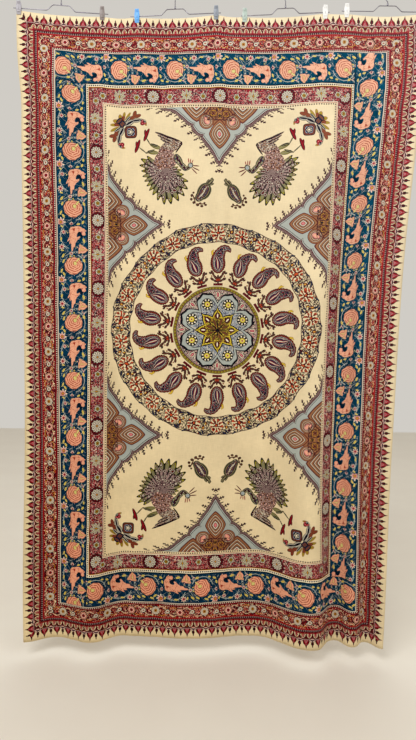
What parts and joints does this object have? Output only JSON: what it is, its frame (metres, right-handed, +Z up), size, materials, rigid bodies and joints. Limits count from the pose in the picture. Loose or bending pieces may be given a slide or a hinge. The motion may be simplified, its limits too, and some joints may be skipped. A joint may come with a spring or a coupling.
{
  "type": "kalamkari panel with clip hangers",
  "caption": "Printed cotton wall panel with a round medallion, birds and flower borders, hanging in soft folds from wire hangers with spring clips and swivel hooks",
  "frame": {"origin": "The seat of the hooks: the level line where the hooks rest on what holds them, over the middle of the flat cloth", "axes": "+X to the viewer's right along the cloth's width, +Z up, the cloth's printed front faces -Y"},
  "size_m": [1.5545, 0.1334, 2.4981],
  "materials": {
    "printed_cotton": "woven, printed",
    "wire": "polished",
    "clip_grey": "satin",
    "clip_taupe": "satin",
    "clip_blue": "satin",
    "clip_slate": "satin",
    "clip_green": "satin",
    "clip_white": "satin"
  },
  "bodies": {
    "root": {"cloth": "printed_cotton", "bar_1": "wire", "bar_2": "wire", "bar_3": "wire", "bar_4": "wire", "hook_1": "wire", "hook_2": "wire", "hook_3": "wire", "hook_4": "wire", "jaw_front_1": "clip_grey", "jaw_back_1": "clip_grey", "jaw_front_2": "clip_taupe", "jaw_back_2": "clip_taupe", "jaw_front_3": "clip_blue", "jaw_back_3": "clip_blue", "jaw_front_4": "clip_slate", "jaw_back_4": "clip_slate", "jaw_front_5": "clip_green", "jaw_back_5": "clip_green", "jaw_front_6": "clip_white", "jaw_back_6": "clip_white", "jaw_front_7": "clip_white", "jaw_back_7": "clip_white", "jaw_front_8": "clip_white", "jaw_back_8": "clip_white"}
  },
  "joints": []
}
